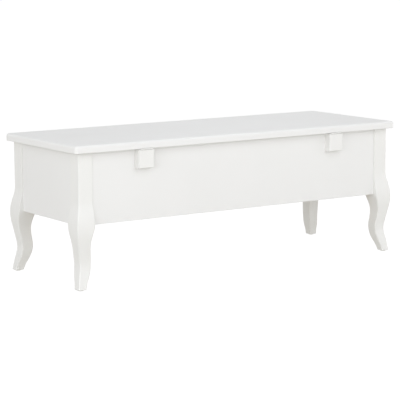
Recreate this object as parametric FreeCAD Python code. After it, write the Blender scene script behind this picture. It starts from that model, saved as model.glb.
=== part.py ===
import FreeCAD, Part
import math
import os

from FreeCAD import Placement, Rotation, Vector

# Storage bench: a long lacquered box on four cabriole legs, under a hinged seat lid.
# Frame: millimetres, origin on the floor under the centre, +X to the sitter's left,
# -Y to the front, +Z up. The lid's hinges are at the back (+Y).

# ---------------------------------------------------------------- driving dimensions
# Lid board
length = 1100.0
depth = 400.0
height = 395.0
lid_t = 21.0
lid_corner_r = 9.0
lid_top_r = 7.5
lid_bottom_r = 2.0
lid_overhang = 17.0
lid_gap = 1.6

# Legs: a square post above, a cabriole leg below
post = 45.0
leg_clear = 176.0
arris_r = 3.5
foot_chamfer = 1.0
# Outside line, from the post down: share of the clear height, swell beyond the post face
leg_swell = [
    (1.386, 0.0), (1.244, 3.4), (1.108, 8.8), (0.972, 11.1), (0.835, 9.7),
    (0.693, 5.4), (0.551, 1.0), (0.369, -2.5), (0.199, 2.6), (0.0, 8.6),
]
# Inside line: share of the clear height, set back from the post's inner face
leg_hollow = [
    (1.0, 0.0), (0.892, 4.6), (0.784, 9.4), (0.682, 11.1), (0.58, 10.0),
    (0.443, 7.6), (0.312, 9.6), (0.21, 14.9), (0.108, 22.4), (0.0, 28.0),
]

# Panels, floor and the cleats that carry it
panel_t = 15.0
panel_recess = 4.0
floor_t = 9.0
cleat = 18.0
cleat_lift = 4.0
fit_gap = 1.0

# Knock-down fittings in the panel ends
dowel_r = 4.0
dowel_l = 30.0
dowel_inset = 20.0
cam_r = 7.4
cam_below = 5.0
cam_setback = 24.0
cam_low = 52.0
cam_over_damper = 10.4
bolt_r = 3.0
bolt_thread_r = 2.5
bolt_thread_l = 11.0
bolt_neck_r = 1.8
bolt_head_r = 2.9

# Hinge blocks on the back panel
block_w = 50.0
block_h = 52.0
block_r = 2.5
block_at = 328.0

# Butt hinges between the blocks and the lid
hinge_l = 38.0
leaf_t = 1.0
leaf_w = 16.0
leaf_gap = 0.4
knuckle_r = 2.2
knuckle_count = 5
pin_r = 1.15
pin_proud = 0.3

# Soft-down lid stays, one at each end: equal links, so the two arms and the lid form a rhombus
elbow_clear = 50.0
case_pivot_deg = -22.0
lid_pivot_deg = -7.0
arm_t = 2.5
arm_w = 15.0
arm_gap = 0.5
rivet_r = 3.0
rivet_head_r = 5.0
rivet_head_t = 1.2
damper_r = 18.0
damper_t = 9.0
damper_wall = 4.0
damper_floor = 2.5
cover_t = 1.2
rotor_neck_r = 5.0
rotor_square = 7.0
lug_reach = 24.0
lug_r = 8.0
lug_t = 3.0
bracket_t = 2.5
bracket_w = 16.0
bracket_l = 40.0

# Feet and lid rests
glide_r = 8.0
glide_t = 2.5
glide_nail_r = 1.2
glide_nail_l = 14.0
bumper_r = 5.0

# Clearances
hole_fit = 0.05
loose_fit = 0.3
open_pivot_fit = 0.3
bore_fit = 0.1

# Wood screws: shank radius, head radius, length
screw_hinge = (1.5, 2.9, 15.0)
screw_cleat = (1.9, 3.8, 28.0)
screw_floor = (1.5, 3.0, 16.0)
screw_block = (2.0, 4.0, 31.0)
screw_lug = (1.7, 3.4, 12.0)
screw_bracket = (1.7, 3.4, 16.0)
recess_depth = 1.0
recess_w = 0.9

# ---------------------------------------------------------------- derived places
lid_under = height - lid_t
case_top = lid_under - lid_gap
post_x = length / 2 - lid_overhang
post_y = depth / 2 - lid_overhang
panel_x_out = post_x - panel_recess
panel_y_out = post_y - panel_recess
panel_x_in = panel_x_out - panel_t
panel_y_in = panel_y_out - panel_t
span_x = post_x - post
span_y = post_y - post
cleat_z = leg_clear + cleat_lift
floor_z = cleat_z + cleat
cam_depth = panel_t / 2 + cam_below
hinge_y = depth / 2
hinge_z = case_top + lid_gap / 2
# The closed stay's elbow stops short of the front post, and both links share its reach
link_shares = math.cos(math.radians(case_pivot_deg)) + math.cos(math.radians(lid_pivot_deg))
link = (hinge_y + span_y - elbow_clear) / link_shares
bore_r = pin_r + hole_fit

UP = Vector(0, 0, 1)
DOWN = Vector(0, 0, -1)
MIRROR_X = Vector(1, 0, 0)
MIRROR_Y = Vector(0, 1, 0)
ORIGIN = Vector(0, 0, 0)


# ---------------------------------------------------------------- helpers
def block(low, high):
    """A box between two opposite corners."""
    size = Vector(*high) - Vector(*low)
    return Part.makeBox(size.x, size.y, size.z, Vector(*low))


def rod(start, direction, radius, run):
    """A cylinder from a point along a direction."""
    return Part.makeCylinder(radius, run, Vector(*start), Vector(*direction))


def mirrored(shape, normal):
    return shape.mirror(ORIGIN, normal)


def four_corners(shape):
    """A piece at the rear left corner, repeated at all four corners."""
    left = [shape, mirrored(shape, MIRROR_Y)]
    return left + [mirrored(piece, MIRROR_X) for piece in left]


def both_ends(shape):
    return [shape, mirrored(shape, MIRROR_X)]


def cut(shape, tools):
    return shape.cut(Part.Compound(tools)) if tools else shape


def single(shape):
    """The one solid that a boolean result holds."""
    return shape.removeSplitter().Solids[0]


def driver_cross(start, way, reach, width, sink):
    """Two crossed slots for a screwdriver, sunk along a direction."""
    side = Vector(1, 0, 0) if abs(way.z) > 0.5 else UP
    slots = []
    for turn in (0, 90):
        along = Rotation(way, turn).multVec(side)
        across = way.cross(along)
        slot = Part.makeBox(2 * reach, width, sink + 0.1)
        corner = start - along * reach - across * (width / 2) - way * 0.1
        slot.Placement = Placement(corner, Rotation(along, across, way, "XYZ"))
        slots.append(slot)
    return slots


def screw(place, direction, spec, grow=0.0):
    """A countersunk wood screw, its head's face at a point; grown, it is its own hole."""
    shank_r, head_r, run = spec
    cone_t = head_r - shank_r
    tip = shank_r
    start = Vector(*place)
    way = Vector(*direction)
    head = Part.makeCone(head_r + grow, shank_r + grow, cone_t, start, way)
    body = Part.makeCylinder(shank_r + grow, run - tip, start, way)
    point = Part.makeCone(shank_r + grow, 0.2 + grow, tip + grow, start + way * (run - tip), way)
    solid = head.fuse([body, point])
    if grow:
        return solid
    return single(solid.cut(driver_cross(start, way, 0.55 * head_r, recess_w, recess_depth)))


def link_end(angle_deg):
    """A point one link in front of the hinge line: how far forward, how far up."""
    angle = math.radians(angle_deg)
    return (link * math.cos(angle), link * math.sin(angle))


def swing(x, forward, up):
    """World point from a distance in front of the hinge line and a height above it."""
    return Vector(x, hinge_y - forward, hinge_z + up)


# ---------------------------------------------------------------- legs
def leg_outline():
    """A leg seen square on: distance inward from the post's outer face, and height."""
    free = leg_clear - glide_t
    outside = [Vector(-swell, 0, glide_t + share * free) for share, swell in leg_swell]
    inside = [Vector(post - back, 0, glide_t + share * free) for share, back in leg_hollow]
    outer = Part.BSplineCurve()
    outer.interpolate(Points=outside, InitialTangent=DOWN, FinalTangent=Vector(-0.2, 0, -1))
    inner = Part.BSplineCurve()
    inner.interpolate(Points=inside, InitialTangent=Vector(-0.1, 0, -1), FinalTangent=Vector(-0.2, 0, -1))
    top_out = Vector(0, 0, case_top)
    top_in = Vector(post, 0, case_top)
    edges = [
        outer.toShape(),
        Part.makeLine(outside[-1], inside[-1]),
        inner.toShape(),
        Part.makeLine(inside[0], top_in),
        Part.makeLine(top_in, top_out),
        Part.makeLine(top_out, outside[0]),
    ]
    return Part.Face(Part.Wire(Part.__sortEdges__(edges)))


def runs_down(edge):
    """True for the long edges down a leg's corners, false for the ones across it."""
    box = edge.BoundBox
    return box.ZLength > max(box.XLength, box.YLength)


def leg_blank():
    """The leg at the rear left corner: the same outline sawn from two sides, arrises eased."""
    face = leg_outline()
    face.translate(Vector(0, -post, 0))
    one_way = face.extrude(Vector(0, 3 * post, 0))
    other_way = one_way.copy()
    other_way.rotate(ORIGIN, UP, 90)
    other_way = mirrored(other_way, MIRROR_X)
    shaft = single(one_way.common(other_way))
    arrises = [edge for edge in shaft.Edges if runs_down(edge)]
    shaft = shaft.makeFillet(arris_r, arrises)
    sole = [edge for edge in shaft.Edges if edge.BoundBox.ZMax < glide_t + 0.01]
    shaft = shaft.makeChamfer(foot_chamfer, sole)
    shaft = mirrored(mirrored(shaft, MIRROR_X), MIRROR_Y)
    shaft.translate(Vector(post_x, post_y, 0))
    return shaft


# ---------------------------------------------------------------- knock-down fittings
class Joint:
    """One panel end against one post: where they meet, the way into the post, the way indoors."""

    def __init__(self, seat, into_post, indoors):
        self.seat = Vector(*seat)
        self.into_post = Vector(*into_post)
        self.indoors = Vector(*indoors)

    def at(self, level, back=0.0):
        """A point at a height, set back from the joint along the middle of the panel."""
        return self.seat + UP * level - self.into_post * back

    def dowel(self, level, grow=0.0):
        run = dowel_l + 4 * grow
        return rod(self.at(level, run / 2), self.into_post, dowel_r + grow, run)

    def cam_bore(self, level):
        mouth = self.at(level, cam_setback) + self.indoors * (panel_t / 2)
        return rod(mouth, -self.indoors, cam_r + bore_fit, cam_depth)

    def bolt_bore(self, level):
        return rod(self.at(level, cam_setback), self.into_post, bolt_r + loose_fit, cam_setback)

    def thread_bore(self, level):
        return rod(self.at(level), self.into_post, bolt_thread_r + hole_fit, bolt_thread_l + fit_gap)

    def cam(self, level):
        """Round locking cam with a channel for the bolt's head and a cross for the driver."""
        mouth = self.at(level, cam_setback) + self.indoors * (panel_t / 2)
        body = rod(mouth, -self.indoors, cam_r, cam_depth - loose_fit)
        channel = rod(self.at(level, cam_setback), self.into_post, bolt_head_r + loose_fit, 2 * cam_r)
        cross = driver_cross(mouth, -self.indoors, 0.8 * cam_r, 2 * recess_w, 2 * recess_depth)
        return single(body.cut([channel] + cross))

    def bolt(self, level):
        """Cam bolt: threaded into the post, with a necked head inside the cam."""
        shank = cam_setback - cam_r - bore_fit
        head = cam_setback - bolt_head_r
        neck_end = cam_setback - 1.0
        parts = [
            rod(self.at(level), self.into_post, bolt_thread_r, bolt_thread_l),
            rod(self.at(level, shank), self.into_post, bolt_r, shank),
            rod(self.at(level, head), self.into_post, bolt_neck_r, head),
            rod(self.at(level, neck_end), self.into_post, bolt_head_r, neck_end - head),
        ]
        return single(parts[0].fuse(parts[1:]))

    def post_tools(self):
        return [self.dowel(z, hole_fit) for z in dowel_levels] + [self.thread_bore(z) for z in cam_levels]

    def panel_tools(self):
        tools = [self.dowel(z, hole_fit) for z in dowel_levels]
        for level in cam_levels:
            tools += [self.cam_bore(level), self.bolt_bore(level)]
        return tools


case_pivot = link_end(case_pivot_deg)
lid_pivot = link_end(lid_pivot_deg)
dowel_levels = (leg_clear + dowel_inset, case_top - dowel_inset)
# The upper cams pass over the dampers' rear screws, however near the box's depth brings them
cam_levels = (leg_clear + cam_low, hinge_z + case_pivot[1] + cam_over_damper)
mid_x = panel_x_out - panel_t / 2
mid_y = panel_y_out - panel_t / 2
long_joint = Joint((span_x, mid_y, 0), (1, 0, 0), (0, -1, 0))
end_joint = Joint((mid_x, span_y, 0), (0, 1, 0), (-1, 0, 0))
joints = (long_joint, end_joint)


def all_fittings(make, levels):
    """A fitting at each level of both joints of every post."""
    return [copy for joint in joints for z in levels for copy in four_corners(make(joint, z))]


# ---------------------------------------------------------------- panels, cleats and floor
def spaced(half_run, count):
    """Places for screws, evenly along a run from -half_run to half_run."""
    step = 2 * half_run / count
    return [-half_run + step * (i + 0.5) for i in range(count)]


def long_cleat_screws(grow=0.0):
    level = cleat_z + cleat / 2
    start = panel_y_in - cleat
    return [screw((x, start, level), (0, 1, 0), screw_cleat, grow) for x in spaced(span_x, 4)]


def end_cleat_screws(grow=0.0):
    level = cleat_z + cleat / 2
    start = panel_x_in - cleat
    return [screw((start, y, level), (1, 0, 0), screw_cleat, grow) for y in spaced(span_y, 2)]


def floor_screws(grow=0.0):
    """Screws down through the floor: three along each long side, one at each end."""
    top = floor_z + floor_t
    rear = [screw((x, panel_y_in - cleat / 2, top), (0, 0, -1), screw_floor, grow) for x in spaced(span_x, 3)]
    left = screw((panel_x_in - cleat / 2, 0, top), (0, 0, -1), screw_floor, grow)
    return rear + [mirrored(piece, MIRROR_Y) for piece in rear] + both_ends(left)


def long_panel():
    panel = block((-span_x, panel_y_in, leg_clear), (span_x, panel_y_out, case_top))
    tools = long_joint.panel_tools()
    tools += [mirrored(tool, MIRROR_X) for tool in tools]
    return single(cut(panel, tools + long_cleat_screws(hole_fit)))


def end_panel():
    panel = block((panel_x_in, -span_y, leg_clear), (panel_x_out, span_y, case_top))
    tools = end_joint.panel_tools()
    tools += [mirrored(tool, MIRROR_Y) for tool in tools]
    return single(cut(panel, tools + end_cleat_screws(hole_fit) + damper_screws(hole_fit)))


def long_cleat():
    run = span_x - fit_gap
    bar = block((-run, panel_y_in - cleat, cleat_z), (run, panel_y_in, floor_z))
    return single(cut(bar, long_cleat_screws(hole_fit) + floor_screws(hole_fit)))


def end_cleat():
    run = span_y - fit_gap
    bar = block((panel_x_in - cleat, -run, cleat_z), (panel_x_in, run, floor_z))
    return single(cut(bar, end_cleat_screws(hole_fit) + floor_screws(hole_fit)))


def floor_panel():
    """The loose floor, notched at its corners round the posts."""
    top = floor_z + floor_t
    wide = (panel_x_in - fit_gap, span_y - fit_gap)
    narrow = (span_x - fit_gap, panel_y_in - fit_gap)
    boards = [block((-x, -y, floor_z), (x, y, top)) for x, y in (wide, narrow)]
    return single(cut(single(boards[0].fuse(boards[1])), floor_screws(hole_fit)))


# ---------------------------------------------------------------- hinge blocks and hinges
def block_screws(grow=0.0):
    """Two screws from inside the box, through the back panel into a hinge block."""
    places = ((-1, 0.45), (1, 0.75))
    return [
        screw((side * block_w / 4, panel_y_in, case_top - share * block_h), (0, 1, 0), screw_block, grow)
        for side, share in places
    ]


def leaf_screws(way, grow=0.0):
    """The two screws of one hinge leaf; way is -1 down into the block, 1 up into the lid."""
    face = hinge_z + way * leaf_gap / 2
    y = hinge_y - (leaf_w + knuckle_r) / 2
    return [screw((x, y, face), (0, 0, way), screw_hinge, grow) for x in spaced(hinge_l / 2, 2)]


def knuckles(first, radius, trim):
    """Every second knuckle of the barrel, as cylinders along the pin."""
    run = hinge_l / knuckle_count
    start = -hinge_l / 2
    return [
        rod((start + run * i + trim, hinge_y, hinge_z), (1, 0, 0), radius, run - 2 * trim)
        for i in range(first, knuckle_count, 2)
    ]


def hinge_leaf(way, first):
    """One leaf: a plate with countersunk holes, its knuckles rolled on along the back edge."""
    near = hinge_z + way * leaf_gap / 2
    far = near + way * leaf_t
    low, high = min(near, far), max(near, far)
    plate = block((-hinge_l / 2, hinge_y - leaf_w, low), (hinge_l / 2, hinge_y, high))
    plate = cut(plate, knuckles(1 - first, knuckle_r + loose_fit, -hole_fit))
    plate = plate.fuse(knuckles(first, knuckle_r, hole_fit))
    bore = rod((-hinge_l, hinge_y, hinge_z), (1, 0, 0), bore_r, 2 * hinge_l)
    return single(cut(plate, [bore] + leaf_screws(way, hole_fit)))


def hinge_pin():
    half = hinge_l / 2 + pin_proud
    return rod((-half, hinge_y, hinge_z), (1, 0, 0), pin_r, 2 * half)


def hinge_mortise(way):
    """What the block or the lid loses to a hinge: the leaf's bed and the barrel's notch."""
    half = hinge_l / 2 + loose_fit
    near = hinge_z
    bed = hinge_z + way * (leaf_gap / 2 + leaf_t)
    low, high = min(near, bed), max(near, bed)
    seat = block((-half, hinge_y - leaf_w - loose_fit, low), (half, hinge_y + leaf_w, high))
    barrel = rod((-half, hinge_y, hinge_z), (1, 0, 0), knuckle_r + 2 * loose_fit, 2 * half)
    return [seat, barrel] + leaf_screws(way, hole_fit)


def hinge_block():
    half = block_w / 2
    low = case_top - block_h
    body = block((-half, panel_y_out, low), (half, depth / 2, case_top))
    outer = [
        edge for edge in body.Edges
        if edge.BoundBox.YMin > depth / 2 - 0.01 and edge.BoundBox.ZMin < case_top - 0.01
    ]
    body = body.makeFillet(block_r, outer)
    return single(cut(body, hinge_mortise(-1) + block_screws(hole_fit)))


def at_hinges(shapes):
    """Copies of pieces drawn on the centre line, moved to both hinges."""
    out = []
    for shape in shapes:
        for side in (1, -1):
            copy = shape.copy()
            copy.translate(Vector(side * block_at, 0, 0))
            out.append(copy)
    return out


# ---------------------------------------------------------------- lid stays
elbow = (case_pivot[0] + lid_pivot[0], case_pivot[1] + lid_pivot[1])

damper_face = panel_x_in - damper_t
lower_out = damper_face - arm_gap
lower_in = lower_out - arm_t
upper_out = lower_in - arm_gap
upper_in = upper_out - arm_t
cavity_r = damper_r - damper_wall
rotor_out = panel_x_in - damper_floor - loose_fit
rotor_in = damper_face + cover_t + loose_fit


def disc(centre, x_from, x_to, radius):
    """A cylinder across the swing plane, between two distances from the middle."""
    start = swing(x_from, *centre)
    return rod(start, (1, 0, 0), radius, x_to - x_from)


def arm(start, end, x_from, x_to):
    """A flat bar with round ends between two pivots."""
    a = swing(x_from, *start)
    b = swing(x_from, *end)
    along = (b - a).normalize()
    across = Vector(1, 0, 0).cross(along)
    bar = Part.makeBox(link, arm_w, x_to - x_from)
    corner = a - across * (arm_w / 2)
    bar.Placement = Placement(corner, Rotation(along, across, Vector(1, 0, 0), "XYZ"))
    ends = [disc(point, x_from, x_to, arm_w / 2) for point in (start, end)]
    return single(bar.fuse(ends))


def square_key(x_from, x_to, size):
    """A square prism at the damper, turned with the lower arm."""
    prism = block((x_from, -size / 2, -size / 2), (x_to, size / 2, size / 2))
    prism.rotate(ORIGIN, Vector(1, 0, 0), -lid_pivot_deg)
    prism.translate(swing(0, *case_pivot))
    return prism


def damper_screws(grow=0.0):
    face = panel_x_in - lug_t
    places = [swing(face, case_pivot[0] + side * lug_reach, case_pivot[1]) for side in (-1, 1)]
    return [screw(place, (1, 0, 0), screw_lug, grow) for place in places]


def damper_housing():
    """Cup for the damper, with two lugs that are screwed to the end panel."""
    lugs = [
        disc((case_pivot[0] + side * lug_reach, case_pivot[1]), panel_x_in - lug_t, panel_x_in, lug_r)
        for side in (-1, 1)
    ]
    low = swing(panel_x_in - lug_t, case_pivot[0] + lug_reach, case_pivot[1] - lug_r)
    high = swing(panel_x_in, case_pivot[0] - lug_reach, case_pivot[1] + lug_r)
    drum = disc(case_pivot, damper_face, panel_x_in, damper_r)
    cup = drum.fuse(lugs + [block(low, high)])
    hollow = disc(case_pivot, damper_face - 1, panel_x_in - damper_floor, cavity_r)
    return single(cut(cup, [hollow] + damper_screws(hole_fit)))


def damper_cover():
    lid = disc(case_pivot, damper_face, damper_face + cover_t, cavity_r - hole_fit)
    return lid.cut(disc(case_pivot, 0, panel_x_in, rotor_neck_r + loose_fit))


def damper_rotor():
    """Drum in the damping grease, with a neck out through the cover and a square for the arm."""
    drum = disc(case_pivot, rotor_in, rotor_out, cavity_r - 0.5)
    neck = disc(case_pivot, lower_out, rotor_in, rotor_neck_r)
    rotor = drum.fuse([neck, square_key(lower_in, lower_out, rotor_square)])
    return single(rotor.cut(disc(case_pivot, 0, rotor_in + 2, rivet_r / 2 + hole_fit)))


def arm_screw():
    """Screw that holds the lower arm on the rotor's square."""
    head = disc(case_pivot, lower_in - rivet_head_t, lower_in, rivet_head_r)
    shank = disc(case_pivot, lower_in, rotor_in + 1.5, rivet_r / 2)
    slot = block((-0.1, -rivet_head_r, -recess_w / 2), (0.7, rivet_head_r, recess_w / 2))
    slot.translate(swing(lower_in - rivet_head_t, *case_pivot))
    return single(head.fuse(shank).cut(slot))


def lower_arm():
    bar = arm(case_pivot, elbow, lower_in, lower_out)
    holes = [
        square_key(0, panel_x_in, rotor_square + 2 * hole_fit),
        disc(elbow, 0, panel_x_in, rivet_r + hole_fit),
    ]
    return single(bar.cut(holes))


def upper_arm():
    bar = arm(elbow, lid_pivot, upper_in, upper_out)
    holes = [
        disc(elbow, 0, panel_x_in, rivet_r + hole_fit),
        disc(lid_pivot, 0, panel_x_in, rivet_r + open_pivot_fit),
    ]
    return single(bar.cut(holes))


def rivet(centre):
    """Pin through both thicknesses of a pivot, headed on each side."""
    inner = upper_in - hole_fit
    shaft = disc(centre, inner, lower_out, rivet_r)
    heads = [
        disc(centre, inner - rivet_head_t, inner, rivet_head_r),
        disc(centre, lower_out, lower_out + rivet_head_t, rivet_head_r),
    ]
    return single(shaft.fuse(heads))


def bracket_screws(grow=0.0):
    x = lower_out - bracket_w + (bracket_w - arm_t) / 2
    level = lid_under - bracket_t
    places = [(x, hinge_y - lid_pivot[0] + dy, level) for dy in spaced(bracket_l / 2, 2)]
    return [screw(place, (0, 0, 1), screw_bracket, grow) for place in places]


def lid_bracket():
    """Angle bracket: a foot screwed under the lid and an ear that carries the upper arm."""
    y = hinge_y - lid_pivot[0]
    level = lid_under - bracket_t
    half = bracket_l / 2
    foot = block((lower_out - bracket_w, y - half, level), (lower_out, y + half, lid_under))
    low = swing(lower_in, lid_pivot[0] + arm_w / 2, lid_pivot[1])
    ear = block(low, (lower_out, y + arm_w / 2, lid_under))
    nose = disc(lid_pivot, lower_in, lower_out, arm_w / 2)
    bracket = foot.fuse([ear, nose])
    hole = disc(lid_pivot, 0, panel_x_in, rivet_r + hole_fit)
    return single(cut(bracket, [hole] + bracket_screws(hole_fit)))


# ---------------------------------------------------------------- lid, glides and bumpers
def lid_board():
    """Seat board: rounded corners, a full round over the top edge, eased underneath."""
    board = block((-length / 2, -depth / 2, lid_under), (length / 2, depth / 2, height))
    corners = [edge for edge in board.Edges if runs_down(edge)]
    board = board.makeFillet(lid_corner_r, corners)
    rim = [edge for edge in board.Edges if edge.BoundBox.ZMin > height - 0.01]
    board = board.makeFillet(lid_top_r, rim)
    skirt = [edge for edge in board.Edges if edge.BoundBox.ZMax < lid_under + 0.01]
    board = board.makeFillet(lid_bottom_r, skirt)
    brackets = bracket_screws(hole_fit)
    brackets += [mirrored(tool, MIRROR_X) for tool in brackets]
    return single(cut(board, at_hinges(hinge_mortise(1)) + brackets))


def foot_centre():
    """Middle of the sole, as a place in plan at the rear left corner."""
    inward = (post - leg_hollow[-1][1] - leg_swell[-1][1]) / 2
    return post_x - inward, post_y - inward


def glide_nail(grow=0.0):
    x, y = foot_centre()
    return rod((x, y, glide_t), (0, 0, 1), glide_nail_r + grow, glide_nail_l + grow)


def foot_glide():
    x, y = foot_centre()
    pad = rod((x, y, 0), (0, 0, 1), glide_r, glide_t)
    rim = [edge for edge in pad.Edges if edge.BoundBox.ZMax < 0.01]
    pad = pad.makeChamfer(glide_t / 4, rim)
    return single(pad.fuse(glide_nail()))


def lid_bumper():
    return rod((post_x - post / 2, post_y - post / 2, case_top), (0, 0, 1), bumper_r, lid_gap)


# ---------------------------------------------------------------- assembly
def build():
    """Every node of the bench, as a list of its solids."""
    leg_tools = [tool for joint in joints for tool in joint.post_tools()] + [glide_nail(hole_fit)]
    legs = four_corners(single(cut(leg_blank(), leg_tools)))
    panel = long_panel()
    back = single(cut(panel, at_hinges(block_screws(hole_fit))))
    hinge_blocks = at_hinges([hinge_block()])
    case_leaves = at_hinges([hinge_leaf(-1, 0)])
    lid_leaves = at_hinges([hinge_leaf(1, 1)])
    pins = at_hinges([hinge_pin()])
    cleats = long_cleat()
    end_cleats = both_ends(end_cleat())
    sides = both_ends(end_panel())
    cleat_fixings = [piece for one in long_cleat_screws() for piece in (one, mirrored(one, MIRROR_Y))]
    cleat_fixings += [piece for one in end_cleat_screws() for piece in both_ends(one)]

    nodes = {
        "leg_rear_left": [legs[0]],
        "leg_front_left": [legs[1]],
        "leg_rear_right": [legs[2]],
        "leg_front_right": [legs[3]],
        "back_panel": [back],
        "front_panel": [mirrored(panel, MIRROR_Y)],
        "side_panel_left": [sides[0]],
        "side_panel_right": [sides[1]],
        "floor_panel": [floor_panel()],
        "cleat_rear": [cleats],
        "cleat_front": [mirrored(cleats, MIRROR_Y)],
        "cleat_left": [end_cleats[0]],
        "cleat_right": [end_cleats[1]],
        "cleat_screws": cleat_fixings,
        "floor_screws": floor_screws(),
        "panel_dowels": all_fittings(Joint.dowel, dowel_levels),
        "cam_locks": all_fittings(Joint.cam, cam_levels),
        "cam_bolts": all_fittings(Joint.bolt, cam_levels),
        "hinge_block_screws": at_hinges(block_screws()),
        "hinge_case_screws": at_hinges(leaf_screws(-1)),
        "hinge_lid_screws": at_hinges(leaf_screws(1)),
        "lid_board": [lid_board()],
        "foot_glides": four_corners(foot_glide()),
        "lid_bumpers": four_corners(lid_bumper()),
        "damper_screws": [piece for one in damper_screws() for piece in both_ends(one)],
        "stay_bracket_screws": [piece for one in bracket_screws() for piece in both_ends(one)],
    }
    for index, side in enumerate(("left", "right")):
        nodes["hinge_block_" + side] = [hinge_blocks[index]]
        nodes["hinge_case_leaf_" + side] = [case_leaves[index]]
        nodes["hinge_lid_leaf_" + side] = [lid_leaves[index]]
        nodes["hinge_pin_" + side] = [pins[index]]
    stay = {
        "damper_housing": damper_housing(),
        "damper_cover": damper_cover(),
        "damper_rotor": damper_rotor(),
        "stay_arm_screw": arm_screw(),
        "stay_lower_arm": lower_arm(),
        "stay_upper_arm": upper_arm(),
        "stay_elbow_rivet": rivet(elbow),
        "stay_lid_rivet": rivet(lid_pivot),
        "stay_lid_bracket": lid_bracket(),
    }
    for name, shape in stay.items():
        left, right = both_ends(shape)
        nodes[name + "_left"] = [left]
        nodes[name + "_right"] = [right]
    return nodes


os.makedirs("parts", exist_ok=True)
for node, solids in build().items():
    shape = solids[0] if len(solids) == 1 else Part.Compound(solids)
    shape.exportStep("parts/" + node + ".step")
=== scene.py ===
import math

import bmesh
import bpy
import numpy as np
from mathutils import Matrix, Vector


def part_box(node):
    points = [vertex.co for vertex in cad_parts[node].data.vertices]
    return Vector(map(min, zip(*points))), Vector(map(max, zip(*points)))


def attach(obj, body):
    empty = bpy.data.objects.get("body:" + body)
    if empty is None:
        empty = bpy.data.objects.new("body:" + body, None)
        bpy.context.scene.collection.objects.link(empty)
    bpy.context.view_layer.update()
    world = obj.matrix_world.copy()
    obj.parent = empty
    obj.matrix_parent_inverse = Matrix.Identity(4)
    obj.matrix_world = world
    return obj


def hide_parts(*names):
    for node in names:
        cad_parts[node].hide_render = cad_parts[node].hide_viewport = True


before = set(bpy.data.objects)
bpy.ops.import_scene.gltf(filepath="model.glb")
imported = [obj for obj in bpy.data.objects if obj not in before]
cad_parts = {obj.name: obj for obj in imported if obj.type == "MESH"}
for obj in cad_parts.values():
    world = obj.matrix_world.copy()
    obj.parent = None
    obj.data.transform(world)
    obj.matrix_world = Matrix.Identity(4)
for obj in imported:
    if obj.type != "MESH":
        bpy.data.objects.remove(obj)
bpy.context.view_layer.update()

MM = 0.001


# ---------------------------------------------------------------- room, light and camera
# The bench stands on a seamless sweep of back-lit white acrylic, in a bright even room, with a ring
# of soft boxes round it and above it. A long lens looks at it from off its back left corner.
def node(tree, kind, inputs=None, **settings):
    """Adds one node; inputs are values, sockets, or nodes whose first output is linked."""
    made = tree.nodes.new(kind)
    for name, value in settings.items():
        setattr(made, name, value)
    for key, value in (inputs or {}).items():
        if isinstance(value, bpy.types.Node):
            value = value.outputs[0]
        if isinstance(value, bpy.types.NodeSocket):
            tree.links.new(value, made.inputs[key])
        else:
            made.inputs[key].default_value = value
    return made


def linear(code):
    """A colour as sRGB hex, turned to the linear values that shaders work in."""
    parts = [int(code[i:i + 2], 16) / 255 for i in (1, 3, 5)]
    return [c / 12.92 if c <= 0.04045 else ((c + 0.055) / 1.055) ** 2.4 for c in parts] + [1.0]


def new_material(name):
    """An empty node material, with its output waiting for a shader."""
    made = bpy.data.materials.new(name)
    made.use_nodes = True
    made.node_tree.nodes.clear()
    return made, made.node_tree


def link_object(name, data):
    made = bpy.data.objects.new(name, data)
    bpy.context.scene.collection.objects.link(made)
    return made


SWEEP_REACH = 40.0
GLOW = 0.97
FLOOR_LIGHT = 0.615
WALL_LIGHT = 0.435

# Back-lit white acrylic: it stays white to the horizon and takes hardly any shadow
acrylic, tree = new_material("backlit_white_acrylic")
where = node(tree, "ShaderNodeTexCoord")
haze = node(tree, "ShaderNodeTexNoise", {"Vector": where.outputs["Object"], "Scale": 1.5, "Detail": 2.0})
rough = node(tree, "ShaderNodeMapRange", {"Value": haze, "To Min": 0.65, "To Max": 0.75})
surface = node(tree, "ShaderNodeBsdfPrincipled", {
    "Base Color": linear("#5A5A5A"), "Roughness": rough, "Specular IOR Level": 0.0,
    "Emission Color": linear("#FFFFFF"), "Emission Strength": GLOW,
})
node(tree, "ShaderNodeOutputMaterial", {"Surface": surface})

sweep_mesh = bpy.data.meshes.new("sweep")
corners = [(-SWEEP_REACH, -SWEEP_REACH, 0), (SWEEP_REACH, -SWEEP_REACH, 0),
           (SWEEP_REACH, SWEEP_REACH, 0), (-SWEEP_REACH, SWEEP_REACH, 0)]
sweep_mesh.from_pydata(corners, [], [(0, 1, 2, 3)])
sweep_mesh.materials.append(acrylic)
sweep = link_object("sweep", sweep_mesh)
# The lower half of the room's own light stands for what the sweep sends up
sweep.visible_diffuse = False
sweep.visible_glossy = False

scene = bpy.context.scene
scene.view_settings.view_transform = "Standard"
scene.world = bpy.data.worlds.new("room")
scene.world.use_nodes = True
tree = scene.world.node_tree
tree.nodes.clear()
# The room's walls and ceiling above the horizon, and below it what the bright floor sends up, which
# is stronger and a shade warmer
sky = node(tree, "ShaderNodeSeparateXYZ", {0: node(tree, "ShaderNodeTexCoord").outputs["Generated"]})
lift = node(tree, "ShaderNodeMapRange", {"Value": sky.outputs["Z"], "From Min": -0.25, "From Max": 0.3})
room = node(tree, "ShaderNodeValToRGB", {"Fac": lift})
room.color_ramp.elements[0].color = [c * FLOOR_LIGHT for c in linear("#FFFCF5")]
room.color_ramp.elements[1].color = [c * WALL_LIGHT for c in linear("#FFFFFF")]
room_light = node(tree, "ShaderNodeBackground", {"Color": room, "Strength": 1.0})
node(tree, "ShaderNodeOutputWorld", {"Surface": room_light})

STUDIO_CENTRE = Vector((0.0, 0.1, 0.25))
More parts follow.
